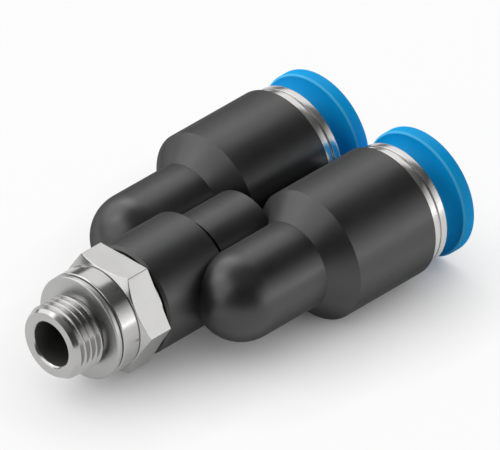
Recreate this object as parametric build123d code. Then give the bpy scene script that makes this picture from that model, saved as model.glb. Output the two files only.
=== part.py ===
from build123d import *
from math import cos, pi
import os

# Y connector with a threaded stud and two push-in tube sockets. Millimetres, +Z up.
# The origin is on the thread axis, in the face that seats on the port. +X runs from the
# thread towards the tube sockets, and the two sockets lie side by side along Y.

# thread and port side
thread_radius = 4.864        # major radius of a G 1/8 parallel thread
thread_length = 5.0          # from the end of the stud to the seating face
thread_relief_radius = 4.25  # undercut under the washer
thread_relief_slope = 0.3
nose_chamfer_long = 0.85     # along the axis
nose_chamfer_deep = 0.52     # off the radius
flow_radius = 2.95           # bore through the stud
flow_mouth_chamfer = 0.25

# sealing washer, a metal disc with a hub and a rubber ring in its bore
washer_thickness = 0.72
washer_hub_long = 0.23       # behind the disc, up to the stud's collar
washer_hub_step = 0.4        # the hub is this much smaller than the disc
washer_edge = 0.2
washer_stack = washer_thickness + washer_hub_long
washer_thread_gap = 0.086    # between the bore of the disc and the crests of the thread
washer_bore = thread_radius + washer_thread_gap
seal_wall = 0.55             # radial thickness of the rubber ring in the washer
seal_setback = 0.3           # the rubber lies this far behind the seating face
seal_lip = 0.1               # its inner edge is a lip this high
seal_pocket = washer_bore + seal_wall
washer_width = 1.9           # radial width of the metal disc
washer_radius = washer_bore + washer_width

# collar, hex and stem of the stud
collar_step = 0.05           # the collar is this much larger than the washer
collar_radius = washer_radius + collar_step
collar_long = 2.65
collar_end = washer_stack + collar_long
collar_edge = 0.12
hex_across_flats = 14.0
hex_long = 4.2
hex_end = collar_end + hex_long
hex_cone_long = 0.9          # length of the cone that trims the front corners
hex_shoulder_step = 0.05     # the round shoulder behind the hex stands this far above its flats
hex_shoulder_radius = hex_across_flats / 2 + hex_shoulder_step
hex_shoulder_long = 0.4
shoulder_end = hex_end + hex_shoulder_long
stem_radius = 5.2
stem_before_bead = 3.2
bead_height = 0.4            # snap bead that holds the stud in the body
bead_width = 1.0
bead_start = shoulder_end + stem_before_bead
bead_end = bead_start + bead_width
bead_to_groove = 1.0
ring_groove_width = 1.5
ring_groove_depth = 0.95
ring_groove_start = bead_end + bead_to_groove
ring_groove_end = ring_groove_start + ring_groove_width
stem_tip_long = 1.1
stem_end = ring_groove_end + stem_tip_long
stem_end_chamfer = 0.3
swivel_clearance = 0.05      # radial, between the stem and the body
swivel_end_play = 0.1        # along the axis, at the shoulder, the bead and the stem end
bead_clearance = 0.1         # radial, round the snap bead

# moulded body
body_start = shoulder_end + swivel_end_play
barrel_wall = 2.1            # round the stem
barrel_radius = stem_radius + swivel_clearance + barrel_wall
barrel_long = 10.4
barrel_end = body_start + barrel_long
barrel_front_chamfer = 0.35
barrel_neck_long = 1.45      # recess round the centre cylinder, just behind the barrel
barrel_neck_depth = 0.5
channel_radius = 3.3         # flow channels along the body
cross_channel_radius = 2.7   # of the channel across it
branch_wall = 2.5
branch_radius = channel_radius + branch_wall
cross_offset = 0.25          # from the barrel's end to the centre line of the cross channel
cross_x = barrel_end + cross_offset
branch_long = 9.15           # from the cross channel's centre line to the cone
cone_start = cross_x + branch_long
cone_long = 2.95
socket_start = cone_start + cone_long
socket_long = 13.25
socket_end = socket_start + socket_long
socket_mouth_chamfer = 0.12
centre_step = 0.05           # the short closed cylinder is this much larger than the branches
centre_radius = branch_radius + centre_step
centre_past_cone = 0.75
centre_end = cone_start + centre_past_cone
centre_fillet = 0.2

# tube socket, for tube of 10 mm outside diameter
tube_radius = 5.0
tube_clearance = 0.05
tube_stop_depth = 1.1        # behind the start of the socket barrel
tube_stop = socket_start + tube_stop_depth
stop_ledge = 1.55            # width of the ledge that stops the tube
guide_long = 4.0             # plain bore that guides the end of the tube
cartridge_start = tube_stop + guide_long
cartridge_depth = 2.1        # radial room round the tube for the seal, the grip ring and the collar
cartridge_radius = tube_radius + cartridge_depth
socket_wall = 1.6
socket_radius = cartridge_radius + socket_wall
socket_gap = 0.7             # between the two socket barrels
socket_spacing = 2 * socket_radius + socket_gap
seal_width = 1.9
seal_squeeze = 0.15          # the seal is this much tighter than the tube, on the radius
seal_chamfer = 0.4
support_start = cartridge_start + seal_width
support_width = 1.9
support_end = support_start + support_width
support_clearance = 0.1      # radial, round the tube
support_land = 0.6
support_rim = 0.7            # radial width of the rim that carries the grip ring
grip_thickness = 0.3
grip_rim = 0.8               # radial width of the flat rim that is held
grip_bite = 0.1              # the tooth tips are this much tighter than the tube
grip_lean = 0.75             # the tips lie this far in front of the rim
grip_slots = 12
grip_slot_width = 0.5

# retaining collar, the bright metal ring at the socket mouth
holder_start = support_end + grip_thickness
holder_wall = 0.6            # of the sleeve inside the socket
holder_head_step = 0.5       # the head is this much smaller than the socket barrel
holder_head_radius = socket_radius - holder_head_step
holder_head_long = 2.55
holder_end = socket_end + holder_head_long
holder_edge = 0.25
holder_neck_long = 0.25      # dark gap between the socket barrel and the head
holder_neck_depth = 0.35
holder_groove_setback = 1.25    # from the end of the head to the middle of its groove
holder_groove_width = 0.25
holder_groove_depth = 0.2
holder_groove_x = holder_end - holder_groove_setback
holder_latch_room = 2.6      # length of the wider bore that the latch lip slides in
holder_latch_face = holder_start + holder_latch_room
slide_clearance = 0.05       # radial, between the release ring and the collar

# release ring
ring_travel = 1.2
ring_nose_gap = 0.15         # left to the grip ring when it is pressed
ring_nose = holder_start + ring_nose_gap + ring_travel
ring_nose_chamfer = 0.5
ring_tube_clearance = 0.1
ring_bore = tube_radius + ring_tube_clearance
ring_wall = 1.0
ring_sleeve_radius = ring_bore + ring_wall
ring_latch_radius = cartridge_radius - holder_wall - slide_clearance
ring_latch_width = 0.8
ring_latch_play = 0.05
ring_latch_end = holder_latch_face - ring_latch_play
ring_press_gap = 0.15        # left between the flare and the collar when it is pressed
ring_flare_start = holder_end + ring_travel + ring_press_gap
ring_flare_long = 1.3
ring_edge_x = ring_flare_start + ring_flare_long    # where the flared back meets the rim
ring_edge = 0.25
ring_rim_step = 0.2          # the rim is this much smaller than the socket barrel
ring_rim_radius = socket_radius - ring_rim_step
ring_rim_long = 1.85
ring_end = ring_edge_x + ring_rim_long
ring_rim_round = 0.35
ring_mouth_round = 0.8
flare_bow_x = 0.68           # the flare's middle point, as shares of its length and height
flare_bow_r = 0.32

socket_sides = {"left": socket_spacing / 2, "right": -socket_spacing / 2}


def turned(points, y=0):
    """A solid turned about the line through (0, y, 0) along X, from (x, radius) points."""
    outline = Polyline(*[(x, r) for x, r in points], close=True)
    return Pos(0, y, 0) * revolve(make_face(outline), Axis.X, 360)


def round_edges(solid, x, radius, y):
    """The circular edges about the line through (0, y, 0) along X at that x and radius."""
    near = 1e-3
    return [e for e in solid.edges().filter_by(GeomType.CIRCLE)
            if abs(e.arc_center.X - x) < near and abs(e.radius - radius) < near
            and abs(e.arc_center.Y - y) < near]


def rounded(solid, x, radius, size, y=0):
    """Rounds the circular edges of a turned solid that lie at x with the given radius."""
    return fillet(round_edges(solid, x, radius, y), size)


def bevelled(solid, x, radius, size, y=0):
    """Chamfers the circular edges of a turned solid that lie at x with the given radius."""
    return chamfer(round_edges(solid, x, radius, y), size)


def make_stud():
    """Thread, collar, hex and stem, turned from one bar."""
    blank = turned([
        (-thread_length, 0),
        (-thread_length, thread_radius - nose_chamfer_deep),
        (-thread_length + nose_chamfer_long, thread_radius),
        (0, thread_radius),
        (thread_relief_slope, thread_relief_radius),
        (washer_stack, thread_relief_radius),
        (washer_stack, collar_radius - collar_edge),
        (washer_stack + collar_edge, collar_radius),
        (hex_end, collar_radius),
        (hex_end, hex_shoulder_radius),
        (shoulder_end - collar_edge, hex_shoulder_radius),
        (shoulder_end, hex_shoulder_radius - collar_edge),
        (shoulder_end, stem_radius),
        (bead_start, stem_radius),
        (bead_start + bead_width / 2, stem_radius + bead_height),
        (bead_end, stem_radius + bead_height),
        (bead_end, stem_radius),
        (ring_groove_start, stem_radius),
        (ring_groove_start, stem_radius - ring_groove_depth),
        (ring_groove_end, stem_radius - ring_groove_depth),
        (ring_groove_end, stem_radius),
        (stem_end - stem_end_chamfer, stem_radius),
        (stem_end, stem_radius - stem_end_chamfer),
        (stem_end, 0),
    ])
    corner = hex_across_flats / 2 / cos(pi / 6)
    bar = Pos(collar_end, 0, 0) * Rot(0, 90, 0) * Rot(0, 0, 90) * extrude(
        RegularPolygon(corner, 6), hex_end - collar_end)
    trim = turned([(collar_end, 0), (collar_end, collar_radius), (collar_end + hex_cone_long, corner),
                   (hex_end, corner), (hex_end, 0)])
    bore = turned([
        (-thread_length, 0), (-thread_length, flow_radius + flow_mouth_chamfer),
        (-thread_length + flow_mouth_chamfer, flow_radius), (stem_end, flow_radius), (stem_end, 0),
    ])
    return blank + (bar & trim) - bore


def make_washer():
    """Metal disc with a smaller hub behind it and a pocket for the rubber ring."""
    return turned([
        (0, washer_bore), (0, washer_radius - washer_edge), (washer_edge, washer_radius),
        (washer_thickness, washer_radius), (washer_thickness, washer_radius - washer_hub_step),
        (washer_stack, washer_radius - washer_hub_step), (washer_stack, seal_pocket),
        (seal_setback, seal_pocket), (seal_setback, washer_bore),
    ])


def make_washer_seal():
    """Rubber ring bonded in the pocket of the washer, with a lip round the thread."""
    middle = (seal_setback + washer_stack) / 2
    return turned([
        (seal_setback, washer_bore + seal_lip), (seal_setback, seal_pocket),
        (washer_stack, seal_pocket), (washer_stack, washer_bore + seal_lip),
        (middle, washer_bore),
    ])


def make_stud_ring():
    """O-ring in the groove of the stem, just clear of the body's bore."""
    section = (ring_groove_depth + swivel_clearance / 2) / 2
    middle = (ring_groove_start + ring_groove_end) / 2
    return Pos(middle, 0, 0) * Rot(0, 90, 0) * Torus(stem_radius - ring_groove_depth + section, section)


def make_body():
    """Moulded Y: barrel, two branches with ball ends that open into sockets, and its channels."""
    neck_end = barrel_end + barrel_neck_long
    neck_radius = centre_radius - barrel_neck_depth
    centre = turned([
        (body_start, 0), (body_start, barrel_radius - barrel_front_chamfer),
        (body_start + barrel_front_chamfer, barrel_radius), (barrel_end, barrel_radius),
        (barrel_end, neck_radius), (neck_end, neck_radius), (neck_end, centre_radius),
        (centre_end, centre_radius), (centre_end, 0),
    ])
    body = rounded(centre, centre_end, centre_radius, centre_fillet)
    for y in socket_sides.values():
        branch = turned([
            (cross_x, 0), (cross_x, branch_radius), (cone_start, branch_radius),
            (socket_start, socket_radius), (socket_end - socket_mouth_chamfer, socket_radius),
            (socket_end, socket_radius - socket_mouth_chamfer), (socket_end, 0),
        ], y)
        body += branch + Pos(cross_x, y, 0) * Sphere(branch_radius)
    stem_room = stem_radius + swivel_clearance
    bead_room = stem_radius + bead_height + bead_clearance
    body -= turned([
        (body_start, 0), (body_start, stem_room), (bead_start - swivel_end_play, stem_room),
        (bead_start - swivel_end_play, bead_room), (bead_end + swivel_end_play, bead_room),
        (bead_end + swivel_end_play, stem_room),
        (stem_end + swivel_end_play, stem_room), (stem_end + swivel_end_play, channel_radius),
        (cross_x, channel_radius), (cross_x, 0),
    ])
    body -= Pos(cross_x, 0, 0) * Rot(90, 0, 0) * Cylinder(cross_channel_radius, socket_spacing)
    channel_start = cross_x - channel_radius
    tube_room = tube_radius + tube_clearance
    stop_opening = tube_room - stop_ledge
    for y in socket_sides.values():
        body -= turned([
            (channel_start, 0), (channel_start, channel_radius), (socket_start, channel_radius),
            (socket_start, stop_opening), (tube_stop, stop_opening), (tube_stop, tube_room),
            (cartridge_start, tube_room), (cartridge_start, cartridge_radius),
            (socket_end, cartridge_radius), (socket_end, 0),
        ], y)
    return body


def make_tube_seal(y):
    """Rubber ring that grips the tube, rounded on its inside."""
    inner = tube_radius - seal_squeeze
    ring = turned([
        (cartridge_start, inner), (cartridge_start, cartridge_radius), (support_start, cartridge_radius),
        (support_start, inner),
    ], y)
    for x in (cartridge_start, support_start):
        ring = bevelled(ring, x, inner, seal_chamfer, y)
    return ring


def make_support_ring(y):
    """Hard ring behind the grip ring, with a cone that gives the teeth room to lean."""
    inner = tube_radius + support_clearance
    return turned([
        (support_start, inner), (support_start, cartridge_radius), (support_end, cartridge_radius),
        (support_end, cartridge_radius - support_rim), (support_start + support_land, inner),
    ], y)


def make_grip_ring(y):
    """Spring steel ring whose teeth lean in towards the tube stop."""
    rim_radius = cartridge_radius - grip_rim
    tip_radius = tube_radius - grip_bite
    tip_x = support_end - grip_lean
    ring = turned([
        (support_end, rim_radius), (support_end, cartridge_radius), (holder_start, cartridge_radius),
        (holder_start, rim_radius), (tip_x + grip_thickness, tip_radius), (tip_x, tip_radius),
    ], y)
    slot = Box(2 * (holder_start - tip_x), grip_slot_width, 2 * (rim_radius - tip_radius))
    for i in range(grip_slots):
        ring -= Pos(tip_x, y, 0) * Rot(360 / grip_slots * i, 0, 0) * Pos(0, 0, tip_radius) * slot
    return ring


def make_retaining_collar(y):
    """Metal sleeve pressed in the socket, with a grooved head outside it."""
    latch_room = cartridge_radius - holder_wall
    inner = ring_sleeve_radius + slide_clearance
    groove_floor = holder_head_radius - holder_groove_depth
    collar = turned([
        (holder_start, latch_room), (holder_start, cartridge_radius), (socket_end, cartridge_radius),
        (socket_end, holder_head_radius - holder_neck_depth),
        (socket_end + holder_neck_long, holder_head_radius - holder_neck_depth),
        (socket_end + holder_neck_long, holder_head_radius),
        (holder_groove_x - holder_groove_width / 2, holder_head_radius),
        (holder_groove_x - holder_groove_width / 2, groove_floor),
        (holder_groove_x + holder_groove_width / 2, groove_floor),
        (holder_groove_x + holder_groove_width / 2, holder_head_radius),
        (holder_end, holder_head_radius), (holder_end, inner), (holder_latch_face, inner),
        (holder_latch_face, latch_room),
    ], y)
    collar = bevelled(collar, holder_end, holder_head_radius, holder_edge, y)
    return bevelled(collar, holder_end, inner, holder_edge, y)


def make_release_ring(y):
    """Sleeve with a latch lip inside the collar and a flared rim to press outside it."""
    flare_height = ring_rim_radius - ring_sleeve_radius
    flare_middle = (ring_flare_start + flare_bow_x * ring_flare_long,
                    ring_sleeve_radius + flare_bow_r * flare_height)
    side = Polyline(
        (ring_edge_x, ring_rim_radius), (ring_end, ring_rim_radius), (ring_end, ring_bore),
        (ring_nose, ring_bore), (ring_nose, ring_sleeve_radius - ring_nose_chamfer),
        (ring_nose + ring_nose_chamfer / 2, ring_sleeve_radius),
        (ring_latch_end - ring_latch_width, ring_sleeve_radius), (ring_latch_end, ring_latch_radius),
        (ring_latch_end, ring_sleeve_radius), (ring_flare_start, ring_sleeve_radius))
    flare = ThreePointArc(
        (ring_flare_start, ring_sleeve_radius), flare_middle, (ring_edge_x, ring_rim_radius))
    ring = Pos(0, y, 0) * revolve(make_face(side + flare), Axis.X, 360)
    ring = bevelled(ring, ring_edge_x, ring_rim_radius, ring_edge, y)
    ring = rounded(ring, ring_end, ring_rim_radius, ring_rim_round, y)
    return rounded(ring, ring_end, ring_bore, ring_mouth_round, y)


def save(solid, name):
    """Writes one piece to its own file."""
    export_step(solid, f"parts/{name}.step")


os.makedirs("parts", exist_ok=True)
save(make_stud(), "threaded_stud")
save(make_washer(), "sealing_washer")
save(make_washer_seal(), "washer_seal")
save(make_stud_ring(), "stud_o_ring")
save(make_body(), "y_body")
for side_name, side_y in socket_sides.items():
    save(make_tube_seal(side_y), f"{side_name}_tube_seal")
    save(make_support_ring(side_y), f"{side_name}_support_ring")
    save(make_grip_ring(side_y), f"{side_name}_grip_ring")
    save(make_retaining_collar(side_y), f"{side_name}_retaining_collar")
    save(make_release_ring(side_y), f"{side_name}_release_ring")
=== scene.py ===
from math import atan2, ceil, cos, hypot, pi, radians, sin, sqrt, tan

import bmesh
import bpy
from mathutils import Matrix, Vector


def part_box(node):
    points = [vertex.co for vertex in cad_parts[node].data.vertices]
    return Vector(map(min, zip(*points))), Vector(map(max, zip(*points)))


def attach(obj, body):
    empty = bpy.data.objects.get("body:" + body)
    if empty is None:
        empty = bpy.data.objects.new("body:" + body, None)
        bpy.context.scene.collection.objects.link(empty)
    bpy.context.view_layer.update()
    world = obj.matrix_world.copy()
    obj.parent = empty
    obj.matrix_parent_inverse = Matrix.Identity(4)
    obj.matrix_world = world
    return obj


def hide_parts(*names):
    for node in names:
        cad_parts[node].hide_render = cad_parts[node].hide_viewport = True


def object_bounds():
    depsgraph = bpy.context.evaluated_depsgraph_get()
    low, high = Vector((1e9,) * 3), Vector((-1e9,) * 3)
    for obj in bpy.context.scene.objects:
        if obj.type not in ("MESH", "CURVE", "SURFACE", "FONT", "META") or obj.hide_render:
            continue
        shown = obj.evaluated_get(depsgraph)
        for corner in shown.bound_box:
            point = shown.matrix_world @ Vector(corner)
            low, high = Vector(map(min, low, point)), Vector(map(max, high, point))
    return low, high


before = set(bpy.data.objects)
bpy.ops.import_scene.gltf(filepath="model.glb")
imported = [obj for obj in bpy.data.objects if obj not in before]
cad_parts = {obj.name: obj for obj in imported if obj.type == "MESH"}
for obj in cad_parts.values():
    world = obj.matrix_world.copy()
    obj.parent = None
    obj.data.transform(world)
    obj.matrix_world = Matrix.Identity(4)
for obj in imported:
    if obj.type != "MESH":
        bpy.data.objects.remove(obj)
cad_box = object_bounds()

MM = 0.001

# the photograph's frame and the view that it was taken from
image_width, image_height = 500, 450
view_azimuth, view_elevation, view_roll = -44.2, 34.75, -0.8       # degrees
view_distance = 2.13              # metres
pixels_per_mm = 8.2
nose_pixel = (49.9, 345.1)        # centre of the stud's end face

# sizes shared with the solids, in millimetres
thread_radius, thread_length, thread_pitch = 4.864, 5.0, 0.907
nose_chamfer_long, nose_chamfer_deep = 0.85, 0.52
flow_radius = 2.95
seal_pocket, washer_radius, washer_hub_radius = 5.5, 6.85, 6.45
washer_thickness, washer_stack, seal_setback = 0.72, 0.95, 0.3
collar_radius, collar_end = 6.9, 3.6
hex_across_flats, hex_end, hex_cone_long = 14.0, 7.8, 0.9
shoulder_end = 8.2
stem_radius, stem_end, stem_end_chamfer = 5.2, 16.0, 0.3
bead_start, bead_end, bead_height = 11.4, 12.4, 0.4
ring_groove_start, ring_groove_end, ring_groove_depth = 13.4, 14.9, 0.95
socket_y = 9.05
socket_end = 44.3
cartridge_radius, holder_wall = 7.1, 0.6
holder_start, holder_end, holder_head_radius = 40.25, 46.85, 8.2
holder_neck_end, holder_neck_radius = 44.55, 7.85
holder_groove_x, holder_groove_width, holder_groove_depth = 45.6, 0.25, 0.2
holder_inner, holder_latch_face = 6.15, 42.85
ring_nose, ring_nose_chamfer, ring_bore, ring_sleeve_radius = 41.6, 0.5, 5.1, 6.1
ring_latch_radius, ring_latch_end, ring_latch_width = 6.45, 42.8, 0.8
ring_flare_start, ring_edge_x, ring_edge = 48.2, 49.5, 0.25
ring_end, ring_rim_radius, ring_rim_round, ring_mouth_round = 51.35, 8.5, 0.35, 0.8

sides = {"left": socket_y, "right": -socket_y}

# the scene's own finer sizes, in millimetres
thread_phase = -0.31                     # X of a crest on the stud's +Y side
thread_cut_start, thread_cut_full = -4.85, -4.5
thread_half_angle = 27.5                 # degrees
crest_round, root_round = 0.07, 0.125
neck_radius, neck_start, neck_blend = 4.2, -0.5, 0.16      # plain neck that the thread runs out into
nose_rim_radius = 4.22                   # last ring on the flat of the end face
flow_mouth_chamfer = 0.3
washer_bore = 4.22
collar_edge_round = 0.2
hex_groove_shift, hex_groove_depth = 0.14, 0.15            # fine groove in front of the hex
hex_corner_round = 0.14
shoulder_radius = 6.85                   # smaller than the solid's, for the dark line behind the hex
ring_bow_along, ring_bow_up = 0.68, 0.32                   # a point that the flare passes, as shares of it
# a painted highlight: a paler line in the release ring's colour, just round its edge
highlight_line_ahead, highlight_line_behind, highlight_line_deep = 0.06, 0.28, 0.27     # round the release ring's edge

# fineness of the meshes
turned_steps, thread_steps, bow_steps, bore_steps = 224, 210, 12, 9
flat_steps, corner_steps = 29, 5
round_step, sharp_angle = radians(18), radians(40)

# light, metres and degrees; a strength is how bright a soft box looks, where 1 is white
floor_half_size, floor_drop = 3, 0.02 * MM
floor_grey, floor_roughness, floor_gloss = (0.78, 0.78, 0.78), 0.9, 0.1
floor_white, floor_shade_reach = 0.93, 0.014
world_shades = [(0.0, 0.3), (0.1, 0.12), (0.6, 0.05), (1.0, 0.25)]      # from the horizon to overhead
light_centre = Vector((22 * MM, 0, 0))
light_distance = 0.6
right_box_azimuth, right_box_size = -58, (0.6, 0.084)
right_box_strengths = {1: 2.4, 9: 1.5, 17: 1.12, 25: 0.74, 33: 0.34}     # by elevation

# materials' grain: noise scales per metre, and the height of the relief
cloud_scale, speck_scale, lathe_line_scale = 260, 2600, 9000
plastic_cloud_scale, coarse_grain_scale, fine_grain_scale = 170, 1500, 7000
metal_relief, plastic_relief = 0.004 * MM, 0.006 * MM
metal_gloss_change, plastic_gloss_change = 0.25, 0.16      # as shares of the roughness
speck_bump = 0.06
drilled_shade, drilled_roughness = (0.5, 0.5, 0.49), 0.33
grazing_start, grazing_full = 0.4, 0.72                    # how far from face on, where plastics turn dull
grazing_roughness = 0.85
# fullness of the painted highlight line on the release rings
highlight_line_fullness = 1.8                 # 1 is a peak, and more flattens it


# camera, floor and light

def view_axes():
    """Right, up and back directions of the camera."""
    a, e, r = radians(view_azimuth), radians(view_elevation), radians(view_roll)
    right = Vector((cos(a), sin(a), 0))
    up = Vector((-sin(e) * sin(a), sin(e) * cos(a), cos(e)))
    back = right.cross(up)
    return cos(r) * right + sin(r) * up, cos(r) * up - sin(r) * right, back


def make_camera():
    """A long lens from the photograph's side, aimed at the middle of its frame."""
    right, up, back = view_axes()
    nose = Vector((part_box("threaded_stud")[0].x, 0, 0))
    across = (image_width / 2 - nose_pixel[0]) / pixels_per_mm * MM
    along = (nose_pixel[1] - image_height / 2) / pixels_per_mm * MM
    target = nose + right * across + up * along
    place = nose + back * view_distance
    back = (place - target).normalized()
    right = up.cross(back).normalized()
    up = back.cross(right)
    data = bpy.data.cameras.new("camera")
    data.sensor_width = 36
    data.lens = pixels_per_mm / MM * (place - target).length * data.sensor_width / image_width
    data.clip_end = 10
    camera = bpy.data.objects.new("camera", data)
    camera.matrix_world = Matrix((
        (right.x, up.x, back.x, place.x), (right.y, up.y, back.y, place.y),
        (right.z, up.z, back.z, place.z), (0, 0, 0, 1)))
    bpy.context.scene.collection.objects.link(camera)
    bpy.context.scene.camera = camera


def make_floor():
    """Pale floor, near white to the camera and in reflections alike, which keeps the object's shadow.

    What the object covers of the sky darkens its white part too, so it isn't bright under the object.
    """
    z = cad_box[0][2] - floor_drop
    corners = [(-1, -1), (1, -1), (1, 1), (-1, 1)]
    mesh = bpy.data.meshes.new("floor")
    mesh.from_pydata([(x * floor_half_size, y * floor_half_size, z) for x, y in corners], [], [(0, 1, 2, 3)])
    floor = bpy.data.objects.new("floor", mesh)
    bpy.context.scene.collection.objects.link(floor)
    mat = bpy.data.materials.new("floor")
    mat.use_nodes = True
    nt = mat.node_tree
    bsdf = nt.nodes["Principled BSDF"]
    bsdf.inputs["Base Color"].default_value = (*floor_grey, 1)
    bsdf.inputs["Roughness"].default_value = floor_roughness
    bsdf.inputs["Specular IOR Level"].default_value = floor_gloss
    white = nt.nodes.new("ShaderNodeEmission")
    path = nt.nodes.new("ShaderNodeLightPath").outputs
    mirrored = math_node(nt, "MAXIMUM", path["Is Glossy Ray"], path["Is Transmission Ray"])
    seen = math_node(nt, "MAXIMUM", path["Is Camera Ray"], mirrored)
    cover = nt.nodes.new("ShaderNodeAmbientOcclusion")
    cover.inputs["Distance"].default_value = floor_shade_reach
    open_sky = math_node(nt, "MULTIPLY", cover.outputs["AO"], floor_white)
    mix = nt.nodes.new("ShaderNodeMixShader")
    link(nt, math_node(nt, "MULTIPLY", seen, open_sky), mix.inputs[0])
    link(nt, bsdf.outputs[0], mix.inputs[1])
    link(nt, white.outputs[0], mix.inputs[2])
    link(nt, mix.outputs[0], nt.nodes["Material Output"].inputs[0])
    floor.data.materials.append(mat)


def soft_box(name, azimuth, elevation, size, strength, roll=0.0):
    """A soft box seen from the object in that direction; strength is how bright its face looks."""
    a, e, turn = radians(azimuth), radians(elevation), radians(roll)
    back = Vector((cos(e) * cos(a), cos(e) * sin(a), sin(e)))
    side = Vector((-sin(a), cos(a), 0))
    wide = cos(turn) * side + sin(turn) * back.cross(side)
    tall = back.cross(wide)
    place = light_centre + back * light_distance
    data = bpy.data.lights.new(name, "AREA")
    data.shape = "RECTANGLE"
    data.size, data.size_y = size
    data.energy = strength * pi * size[0] * size[1]
    lamp = bpy.data.objects.new(name, data)
    lamp.matrix_world = Matrix((
        (wide.x, tall.x, back.x, place.x), (wide.y, tall.y, back.y, place.y),
        (wide.z, tall.z, back.z, place.z), (0, 0, 0, 1)))
    bpy.context.scene.collection.objects.link(lamp)


def make_soft_boxes():
    """Three large boxes behind and to the left, and a strip on the right that fades upwards."""
    soft_box("far_box", azimuth=38, elevation=40, size=(0.62, 0.52), strength=1.2, roll=37)
    soft_box("far_left_box", azimuth=95, elevation=38, size=(0.66, 0.62), strength=1.6)
    soft_box("left_box", azimuth=156, elevation=32, size=(0.6, 0.6), strength=1.5)
    for elevation, strength in right_box_strengths.items():
        soft_box(f"right_box_{elevation}", right_box_azimuth, elevation, right_box_size, strength)


def make_world():
    """A dim room round the soft boxes, lighter at the horizon and overhead."""
    world = bpy.data.worlds.new("world")
    bpy.context.scene.world = world
    world.use_nodes = True
    nt = world.node_tree
    coords = nt.nodes.new("ShaderNodeTexCoord")
    split = nt.nodes.new("ShaderNodeSeparateXYZ")
    link(nt, coords.outputs["Generated"], split.inputs[0])
    shade = ramp(nt, split.outputs[2], world_shades)
    link(nt, shade, nt.nodes["Background"].inputs[0])


# node helpers

def link(nt, source, target):
    nt.links.new(source, target)


def math_node(nt, operation, a, b=0.0, c=0.0, clamp=False):
    """Arithmetic on values, each of them a number or another node's output."""
    node = nt.nodes.new("ShaderNodeMath")
    node.operation = operation
    node.use_clamp = clamp
    for socket, value in zip(node.inputs, (a, b, c)):
        if isinstance(value, (int, float)):
            socket.default_value = value
        else:
            link(nt, value, socket)
    return node.outputs[0]


def ramp(nt, factor, stops):
    """Greys from (position, grey) stops."""
    node = nt.nodes.new("ShaderNodeValToRGB")
    marks = node.color_ramp.elements
    while len(marks) < len(stops):
        marks.new(0.5)
    for mark, (place, grey) in zip(marks, stops):
        mark.position = place
        mark.color = (grey, grey, grey, 1)
    link(nt, factor, node.inputs[0])
    return node.outputs[0]


def noise(nt, vector, scale, detail=2.0, roughness=0.5):
    node = nt.nodes.new("ShaderNodeTexNoise")
    node.inputs["Scale"].default_value = scale
    node.inputs["Detail"].default_value = detail
    node.inputs["Roughness"].default_value = roughness
    link(nt, vector, node.inputs["Vector"])
    return node.outputs["Fac"]


def spread(nt, value, low, high):
    """A noise value, which lies mostly between 0.3 and 0.7, stretched to the range low to high."""
    node = nt.nodes.new("ShaderNodeMapRange")
    node.inputs["From Min"].default_value = 0.3
    node.inputs["From Max"].default_value = 0.7
    node.inputs["To Min"].default_value = low
    node.inputs["To Max"].default_value = high
    link(nt, value, node.inputs["Value"])
    return node.outputs[0]


def distance(nt, a, b):
    """Length of the hypotenuse over two values."""
    return math_node(nt, "SQRT", math_node(nt, "ADD", math_node(nt, "MULTIPLY", a, a),
                                           math_node(nt, "MULTIPLY", b, b)))


def product(nt, a, b):
    """Two colours multiplied."""
    node = nt.nodes.new("ShaderNodeVectorMath")
    node.operation = "MULTIPLY"
    link(nt, a, node.inputs[0])
    link(nt, b, node.inputs[1])
    return node.outputs[0]


def bump(nt, height, strength, relief, normal=None):
    """Normal bent by a height, relief metres high at full strength."""
    node = nt.nodes.new("ShaderNodeBump")
    node.inputs["Strength"].default_value = strength
    node.inputs["Distance"].default_value = relief
    link(nt, height, node.inputs["Height"])
    if normal is not None:
        link(nt, normal, node.inputs["Normal"])
    return node.outputs[0]


def mixed(nt, factor, a, b):
    """Colour between two colours, each of them written out or another node's output."""
    node = nt.nodes.new("ShaderNodeMix")
    node.data_type = "RGBA"
    for socket, colour in ((node.inputs[6], a), (node.inputs[7], b)):
        if isinstance(colour, tuple):
            socket.default_value = (*colour, 1)
        else:
            link(nt, colour, socket)
    link(nt, factor, node.inputs[0])
    return node.outputs[2]


def new_material(name, metallic, specular=0.5):
    """Node material, its node tree, its main shader, and the place on the piece in metres."""
    mat = bpy.data.materials.new(name)
    mat.use_nodes = True
    nt = mat.node_tree
    bsdf = nt.nodes["Principled BSDF"]
    bsdf.inputs["Metallic"].default_value = metallic
    bsdf.inputs["Specular IOR Level"].default_value = specular
    coords = nt.nodes.new("ShaderNodeTexCoord")
    return mat, nt, bsdf, coords.outputs["Object"]


# materials

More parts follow.
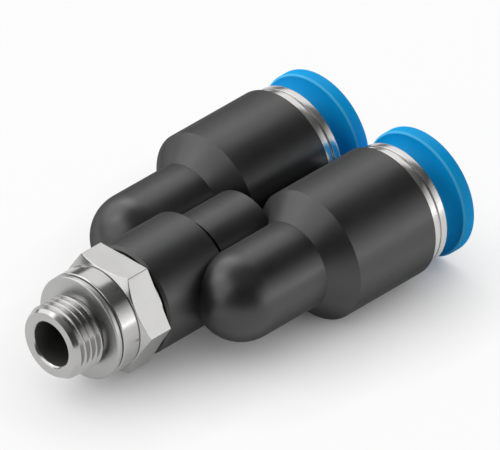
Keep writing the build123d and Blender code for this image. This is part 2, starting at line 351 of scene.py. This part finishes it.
def turned_metal(name, dark, light, rough, grooves, axis_y=0.0, drilled=0.0):
    """Plated or bare metal with fine lathe lines round the piece's axis and slight clouding.

    Within the radius given as drilled, the metal is as dull and dark as a bare drilled bore.
    """
    mat, nt, bsdf, place = new_material(name, 1.0)
    shift = nt.nodes.new("ShaderNodeVectorMath")
    shift.inputs[1].default_value = (0, -axis_y * MM, 0)
    link(nt, place, shift.inputs[0])
    split = nt.nodes.new("ShaderNodeSeparateXYZ")
    link(nt, shift.outputs[0], split.inputs[0])
    x, y, z = split.outputs
    radius = distance(nt, y, z)
    lines = nt.nodes.new("ShaderNodeCombineXYZ")
    link(nt, x, lines.inputs[0])
    link(nt, radius, lines.inputs[1])
    turning = noise(nt, lines.outputs[0], lathe_line_scale, 3.0, 0.6)
    clouds = noise(nt, place, cloud_scale, 3.0)
    specks = noise(nt, place, speck_scale, 2.0)
    bore = math_node(nt, "LESS_THAN", radius, drilled * MM)
    plated = mixed(nt, spread(nt, clouds, 0, 1), dark, light)
    bare = mixed(nt, bore, (1, 1, 1), drilled_shade)
    link(nt, product(nt, plated, bare), bsdf.inputs["Base Color"])
    both = math_node(nt, "ADD", spread(nt, clouds, -0.5, 0.5), spread(nt, turning, -0.5, 0.5))
    gloss = math_node(nt, "MULTIPLY_ADD", both, rough * metal_gloss_change, rough)
    dull = math_node(nt, "MULTIPLY_ADD", bore, drilled_roughness, gloss, clamp=True)
    link(nt, dull, bsdf.inputs["Roughness"])
    turned = bump(nt, turning, grooves, metal_relief)
    link(nt, bump(nt, specks, speck_bump, metal_relief, turned), bsdf.inputs["Normal"])
    return mat


def moulded_plastic(name, dark, light, rough, grain=0.5, specular=0.5, edge_highlight_colour=None):
    """Satin moulded plastic with the fine grain of the mould and faint changes in gloss.

    The colour for the edge, when given, paints a highlight into the base colour: a paler line along the edge
    of a release ring, where the edge's gloss would shine.
    """
    mat, nt, bsdf, place = new_material(name, 0.0, specular)
    clouds = noise(nt, place, plastic_cloud_scale, 3.0)
    fine = noise(nt, place, fine_grain_scale, 2.0, 0.6)
    coarse = noise(nt, place, coarse_grain_scale, 2.0)
    colour = mixed(nt, spread(nt, clouds, 0, 1), dark, light)
    # a painted highlight along the release ring's edge, put into the base colour
    if edge_highlight_colour:
        colour = painted_edge_highlight(nt, place, colour, edge_highlight_colour)
    link(nt, colour, bsdf.inputs["Base Color"])
    both = math_node(nt, "ADD", spread(nt, clouds, -0.6, 0.6), spread(nt, coarse, -0.4, 0.4))
    edge = nt.nodes.new("ShaderNodeLayerWeight")
    flatter = nt.nodes.new("ShaderNodeMapRange")
    flatter.inputs["From Min"].default_value = grazing_start
    flatter.inputs["From Max"].default_value = grazing_full
    flatter.inputs["To Max"].default_value = grazing_roughness - rough
    link(nt, edge.outputs["Facing"], flatter.inputs["Value"])
    gloss = math_node(nt, "MULTIPLY_ADD", both, rough * plastic_gloss_change, rough)
    link(nt, math_node(nt, "ADD", gloss, flatter.outputs[0], clamp=True), bsdf.inputs["Roughness"])
    grained = bump(nt, fine, grain, plastic_relief)
    link(nt, bump(nt, coarse, grain / 2, plastic_relief, grained), bsdf.inputs["Normal"])
    return mat


def painted_edge_highlight(nt, place, colour, highlight_colour):
    """Painted highlight: the colour turns paler along the outer edge of a socket's release ring, in place of
    its gloss.
    """
    split = nt.nodes.new("ShaderNodeSeparateXYZ")
    link(nt, place, split.inputs[0])
    x, y, z = split.outputs
    start, end = ring_edge_x - highlight_line_ahead, ring_edge_x + highlight_line_behind
    middle, half = (start + end) / 2 * MM, (end - start) / 2 * MM
    off = math_node(nt, "ABSOLUTE", math_node(nt, "SUBTRACT", x, middle))
    share = math_node(nt, "SUBTRACT", 1.0, math_node(nt, "DIVIDE", off, half), clamp=True)
    aside = math_node(nt, "SUBTRACT", math_node(nt, "ABSOLUTE", y), socket_y * MM)
    outer = math_node(nt, "GREATER_THAN", distance(nt, aside, z), (ring_rim_radius - highlight_line_deep) * MM)
    band = math_node(nt, "MULTIPLY", share, highlight_line_fullness, clamp=True)
    return mixed(nt, math_node(nt, "MULTIPLY", band, outer), colour, highlight_colour)


# mesh helpers

def rounded_outline(points):
    """Closed (x, radius) outline; each (x, radius, size) corner is rounded by that much."""
    most = 0.49                       # share of a side that one round may take
    outline = []
    count = len(points)
    for i, point in enumerate(points):
        x, r = point[:2]
        size = point[2] if len(point) > 2 else 0.0
        before, after = points[i - 1], points[(i + 1) % count]
        a = Vector((before[0] - x, before[1] - r))
        b = Vector((after[0] - x, after[1] - r))
        if size == 0 or a.length < 1e-9 or b.length < 1e-9:
            outline.append((x, r))
            continue
        turn = a.angle(b)
        reach = min(size / tan(turn / 2), a.length * most, b.length * most)
        size = reach * tan(turn / 2)
        corner = Vector((x, r))
        start = corner + a.normalized() * reach
        end = corner + b.normalized() * reach
        centre = corner + (a.normalized() + b.normalized()).normalized() * (size / sin(turn / 2))
        steps = max(2, ceil((pi - turn) / round_step))
        first = atan2(start.y - centre.y, start.x - centre.x)
        sweep = atan2(end.y - centre.y, end.x - centre.x) - first
        sweep = (sweep + pi) % (2 * pi) - pi
        for k in range(steps + 1):
            angle = first + sweep * k / steps
            outline.append((centre.x + size * cos(angle), centre.y + size * sin(angle)))
    return outline


def arc_through(start, middle, end, steps):
    """Points of the circular arc through three (x, radius) points, both ends left out."""
    (ax, ay), (bx, by), (cx, cy) = start, middle, end
    a, b, c = (x * x + y * y for x, y in (start, middle, end))
    d = 2 * (ax * (by - cy) + bx * (cy - ay) + cx * (ay - by))
    ux = (a * (by - cy) + b * (cy - ay) + c * (ay - by)) / d
    uy = (a * (cx - bx) + b * (ax - cx) + c * (bx - ax)) / d
    radius = hypot(ax - ux, ay - uy)
    first = atan2(ay - uy, ax - ux)
    sweep = (atan2(cy - uy, cx - ux) - first + pi) % (2 * pi) - pi
    angles = [first + sweep * k / steps for k in range(1, steps)]
    return [(ux + radius * cos(angle), uy + radius * sin(angle)) for angle in angles]


def loft(name, rings, angles, y=0.0):
    """Closed mesh round the line through (0, y, 0) along X, from rings of (x, radius) at each angle."""
    count = len(angles)
    verts = [(x * MM, (y + r * cos(t)) * MM, r * sin(t) * MM)
             for ring in rings for (x, r), t in zip(ring, angles)]
    faces = []
    for i in range(len(rings)):
        a, b = i * count, (i + 1) % len(rings) * count
        for j in range(count):
            k = (j + 1) % count
            faces.append((a + j, a + k, b + k, b + j))
    mesh = bpy.data.meshes.new(name)
    mesh.from_pydata(verts, [], faces)
    work = bmesh.new()
    work.from_mesh(mesh)
    bmesh.ops.recalc_face_normals(work, faces=work.faces)
    work.to_mesh(mesh)
    work.free()
    mesh.shade_smooth()
    mesh.set_sharp_from_angle(angle=sharp_angle)
    obj = bpy.data.objects.new(name, mesh)
    bpy.context.scene.collection.objects.link(obj)
    weigh_normals(obj)
    return obj


def weigh_normals(obj):
    """Normals that keep the flat faces flat and leave the turn to the small edge rounds."""
    weighted = obj.modifiers.new("weighted", "WEIGHTED_NORMAL")
    weighted.keep_sharp = True
    bpy.context.view_layer.update()
    solid = bpy.data.meshes.new_from_object(obj.evaluated_get(bpy.context.evaluated_depsgraph_get()))
    obj.modifiers.clear()
    obj.data = solid


def lathe(name, points, y=0.0):
    """A piece turned about the line through (0, y, 0) along X."""
    angles = [2 * pi * k / turned_steps for k in range(turned_steps)]
    return loft(name, [[point] * turned_steps for point in rounded_outline(points)], angles, y)


# the stud

def hexagon_angles():
    """Angles round the hex, closer together at its corners, and the radius of the hex at each."""
    flat = hex_across_flats / 2
    centre = (flat - hex_corner_round) / cos(pi / 6)       # of a corner's round
    edge = atan2((flat - hex_corner_round) * tan(pi / 6), flat)
    angles, radii = [], []
    for k in range(6):
        middle = pi / 2 + k * pi / 3
        for i in range(flat_steps + 1):
            off = -edge + 2 * edge * i / flat_steps
            angles.append(middle + off)
            radii.append(flat / cos(off))
        for i in range(1, corner_steps):
            off = edge + 2 * (pi / 6 - edge) * i / corner_steps
            away = abs(pi / 6 - off)
            angles.append(middle + off)
            radii.append(centre * cos(away) + sqrt(max(0, hex_corner_round ** 2 - (centre * sin(away)) ** 2)))
    return angles, radii


def thread_depth(u):
    """Depth below the crest of a 55 degree thread with rounded crests and roots; u is turns from a crest."""
    half = radians(thread_half_angle)
    away, middle = abs(u - round(u)) * thread_pitch, thread_pitch / 2
    flank_start, flank_end = crest_round * cos(half), middle - root_round * cos(half)
    if away < flank_start:
        return crest_round - sqrt(crest_round ** 2 - away ** 2)
    flank = crest_round * (1 - sin(half)) + (min(away, flank_end) - flank_start) / tan(half)
    if away < flank_end:
        return flank
    return flank - root_round * sin(half) + sqrt(root_round ** 2 - (middle - away) ** 2)


def smooth_step(low, high, value):
    """0 up to low, 1 from high on, and a smooth rise between them."""
    share = min(1.0, max(0.0, (value - low) / (high - low)))
    return share * share * (3 - 2 * share)


def thread_rings(angles):
    """Rings of the thread, from the chamfer at the nose to the neck."""
    rings = []
    for k in range(thread_steps + 1):
        x = -thread_length + (thread_length + neck_start) * k / thread_steps
        left = max(0.0, nose_chamfer_long - (x + thread_length))
        chamfer = thread_radius - left * nose_chamfer_deep / nose_chamfer_long
        cut = smooth_step(thread_cut_start, thread_cut_full, x)
        blend = smooth_step(neck_start - neck_blend, neck_start, x)
        ring = []
        for t in angles:
            depth = cut * thread_depth((x - thread_phase) / thread_pitch - t / (2 * pi))
            r = min(thread_radius - depth, chamfer)
            ring.append((x, r + (neck_radius - r) * blend))
        rings.append(ring)
    return rings


def collar_outline():
    """Neck, washer seat and collar up to the far side of the fine groove before the hex."""
    seat_fillet, edge = 0.1, collar_edge_round
    outline = [(washer_stack - seat_fillet, neck_radius), (washer_stack, neck_radius + seat_fillet),
               (washer_stack, collar_radius - edge)]
    outline += [(washer_stack + edge * (1 - cos(k * pi / 8)), collar_radius - edge * (1 - sin(k * pi / 8)))
                for k in range(1, 5)]
    # each pair is how far along X from the groove's far side, and how deep
    groove = [(-0.27, 0), (-0.23, 0.02), (-0.22, hex_groove_depth),
              (-0.02, hex_groove_depth), (0, 0.02), (0.012, 0)]
    return outline + [(collar_end + hex_groove_shift + along, collar_radius - deep) for along, deep in groove]


def hex_rings(hexagon):
    """Cone of the hex, which meets the flats in arcs, and the flats with their small edge rounds."""
    start = collar_end + hex_groove_shift
    corner = hex_across_flats / 2 / cos(pi / 6)
    slope = (corner - collar_radius) / (hex_cone_long - hex_groove_shift)
    arcs = [(start + (r - collar_radius) / slope, r) for r in hexagon]
    rings = []
    for back, share in ((0.12, 0.5), (0.035, 0.2)):
        backs = [min(back, (x - start) * share) for x, r in arcs]
        rings.append([(x - b, r - b * slope) for (x, r), b in zip(arcs, backs)])
    for ahead, drop in ((0.006, 0.006), (0.035, 0), (0.14, 0)):
        rings.append([(x + ahead, r - drop) for x, r in arcs])
    for back, drop in ((0.08, 0), (0.02, 0), (0.006, 0.006), (0, 0.02)):
        rings.append([(hex_end - back, r - drop) for r in hexagon])
    return rings


def tail_outline():
    """Shoulder and stem behind the hex with the bead and the groove, and the bore back to the nose."""
    bead, groove = stem_radius + bead_height, stem_radius - ring_groove_depth
    ease = 0.03                          # half of the facet that softens an edge
    edge, edge_middle = 0.12, 0.035      # round of the shoulder's rear edge
    outline = [
        (hex_end, shoulder_radius - 0.045), (hex_end + 0.01, shoulder_radius - 0.005),
        (hex_end + ease, shoulder_radius), (shoulder_end - edge, shoulder_radius),
        (shoulder_end - edge_middle, shoulder_radius - edge_middle), (shoulder_end, shoulder_radius - edge),
        (shoulder_end, stem_radius + 0.1), (shoulder_end + ease, stem_radius + ease),
        (shoulder_end + 0.1, stem_radius)]
    middle = (bead_start + bead_end) / 2
    outline += [
        (bead_start - 0.02, stem_radius), (middle - 0.02, bead - 0.01), (middle + ease, bead),
        (bead_end - 0.06, bead), (bead_end, bead - 0.06), (bead_end, stem_radius + ease),
        (bead_end + ease, stem_radius)]
    outline += [
        (ring_groove_start - 0.04, stem_radius), (ring_groove_start, stem_radius - 0.04),
        (ring_groove_start, groove + 0.06), (ring_groove_start + 0.06, groove),
        (ring_groove_end - 0.06, groove), (ring_groove_end, groove + 0.06),
        (ring_groove_end, stem_radius - 0.04), (ring_groove_end + 0.04, stem_radius)]
    outer, inner = stem_end_chamfer + ease, stem_end_chamfer - ease
    outline += [
        (stem_end - outer, stem_radius), (stem_end - inner, stem_radius - ease),
        (stem_end - ease, stem_radius - inner), (stem_end, stem_radius - outer),
        (stem_end, flow_radius + 0.08), (stem_end - 0.02, flow_radius + 0.02), (stem_end - 0.08, flow_radius)]
    outline += [(stem_end - (stem_end + thread_length) * k / bore_steps, flow_radius)
                for k in range(1, bore_steps)]
    outer, inner = flow_mouth_chamfer + 0.05, flow_mouth_chamfer - 0.02
    return outline + [
        (-thread_length + outer, flow_radius), (-thread_length + inner, flow_radius + 0.02),
        (-thread_length + 0.02, flow_radius + inner), (-thread_length, flow_radius + outer),
        (-thread_length, nose_rim_radius)]


def make_stud():
    """Thread, collar, hex and stem as one closed mesh."""
    angles, hexagon = hexagon_angles()

    def plain(outline):
        return [[point] * len(angles) for point in outline]

    return loft("stud_turned", thread_rings(angles) + plain(collar_outline()) + hex_rings(hexagon)
                + plain(tail_outline()), angles)


def make_washer():
    """Metal disc that reaches in to the thread, with a smaller hub and a pocket for its rubber ring."""
    hub = washer_hub_radius
    return lathe("washer_turned", [
        (0, washer_bore, 0.05), (0, washer_radius, 0.2), (washer_thickness, washer_radius, 0.12),
        (washer_thickness, hub, 0.03), (washer_stack, hub, 0.05), (washer_stack, seal_pocket, 0.03),
        (seal_setback, seal_pocket, 0.03), (seal_setback, washer_bore, 0.03)])


# the sockets' collars and release rings

def make_collar(side):
    """Pressed sleeve with a grooved head outside the socket."""
    sleeve = cartridge_radius - holder_wall
    groove, half = holder_head_radius - holder_groove_depth, holder_groove_width / 2
    return lathe(f"{side}_collar_turned", [
        (holder_start, sleeve, 0.05), (holder_start, cartridge_radius, 0.1), (socket_end, cartridge_radius),
        (socket_end, holder_neck_radius, 0.03), (holder_neck_end, holder_neck_radius, 0.05),
        (holder_neck_end, holder_head_radius, 0.1),
        (holder_groove_x - half, holder_head_radius, 0.05), (holder_groove_x - half, groove, 0.06),
        (holder_groove_x + half, groove, 0.06), (holder_groove_x + half, holder_head_radius, 0.05),
        (holder_end, holder_head_radius, 0.28), (holder_end, holder_inner, 0.2),
        (holder_latch_face, holder_inner, 0.05), (holder_latch_face, sleeve, 0.1)], sides[side])


def make_release_ring(side):
    """Sleeve with a latch lip, and a flared rim to press."""
    start = (ring_flare_start, ring_sleeve_radius)
    edge = (ring_edge_x, ring_rim_radius - ring_edge)
    middle = (ring_flare_start + ring_bow_along * (ring_edge_x - ring_flare_start),
              ring_sleeve_radius + ring_bow_up * (ring_rim_radius - ring_sleeve_radius))
    bow = arc_through(start, middle, edge, bow_steps)
    return lathe(f"{side}_release_ring_moulded", [
        (ring_nose, ring_bore, 0.15), (ring_nose, ring_sleeve_radius - ring_nose_chamfer, 0.1),
        (ring_nose + ring_nose_chamfer / 2, ring_sleeve_radius, 0.1),
        (ring_latch_end - ring_latch_width, ring_sleeve_radius, 0.03),
        (ring_latch_end, ring_latch_radius, 0.08), (ring_latch_end, ring_sleeve_radius, 0.05),
        start, *bow, edge, (ring_edge_x + ring_edge, ring_rim_radius, 0.12),
        (ring_end, ring_rim_radius, ring_rim_round), (ring_end, ring_bore, ring_mouth_round)], sides[side])


# putting it together

def dress(piece, material):
    """That material alone on a piece."""
    piece.data.materials.clear()
    piece.data.materials.append(material)


def stand_in(piece, body, node, material):
    """A finer piece in the place of a solid's mesh, moving with its body."""
    dress(piece, material)
    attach(piece, body)
    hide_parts(node)


make_camera()
make_floor()
make_world()
make_soft_boxes()

nickel = turned_metal("nickel_plate", (0.445, 0.442, 0.436), (0.485, 0.482, 0.476),
                      rough=0.2, grooves=0.16, drilled=flow_radius + 0.02)
washer_metal = turned_metal("washer_metal", (0.45, 0.45, 0.446), (0.5, 0.5, 0.496), rough=0.4, grooves=0.3)
collar_metals = {
    side: turned_metal(f"{side}_collar_metal", (0.54, 0.535, 0.525), (0.6, 0.595, 0.585),
                       rough=0.25, grooves=0.15, axis_y=y) for side, y in sides.items()}
spring_steel = turned_metal("spring_steel", (0.38, 0.38, 0.39), (0.46, 0.46, 0.47), rough=0.28, grooves=0.3)
black = moulded_plastic("black_plastic", (0.0055, 0.0055, 0.0058), (0.0078, 0.0078, 0.008),
                        rough=0.36, specular=0.88)
# the blue carries a painted highlight line along the edge of each release ring
blue = moulded_plastic("blue_plastic", (0.002, 0.39, 0.86), (0.003, 0.42, 0.92),
                       rough=0.5, grain=0.3, specular=0.1, edge_highlight_colour=(0.09, 0.57, 1.0))
natural = moulded_plastic("natural_plastic", (0.55, 0.53, 0.48), (0.62, 0.6, 0.55), rough=0.45)
rubber = moulded_plastic("black_rubber", (0.012, 0.012, 0.012), (0.02, 0.02, 0.019), rough=0.62, grain=0.8)

stand_in(make_stud(), "stud", "threaded_stud", nickel)
stand_in(make_washer(), "stud", "sealing_washer", washer_metal)
for side in sides:
    stand_in(make_collar(side), "housing", f"{side}_retaining_collar", collar_metals[side])
    stand_in(make_release_ring(side), f"{side}_release", f"{side}_release_ring", blue)

# the solids that keep their own meshes
kept = {"y_body": black, "washer_seal": rubber, "stud_o_ring": rubber}
for side in sides:
    kept |= {f"{side}_tube_seal": rubber, f"{side}_support_ring": natural, f"{side}_grip_ring": spring_steel}
for node, material in kept.items():
    dress(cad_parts[node], material)

bpy.context.scene.view_settings.view_transform = "Standard"
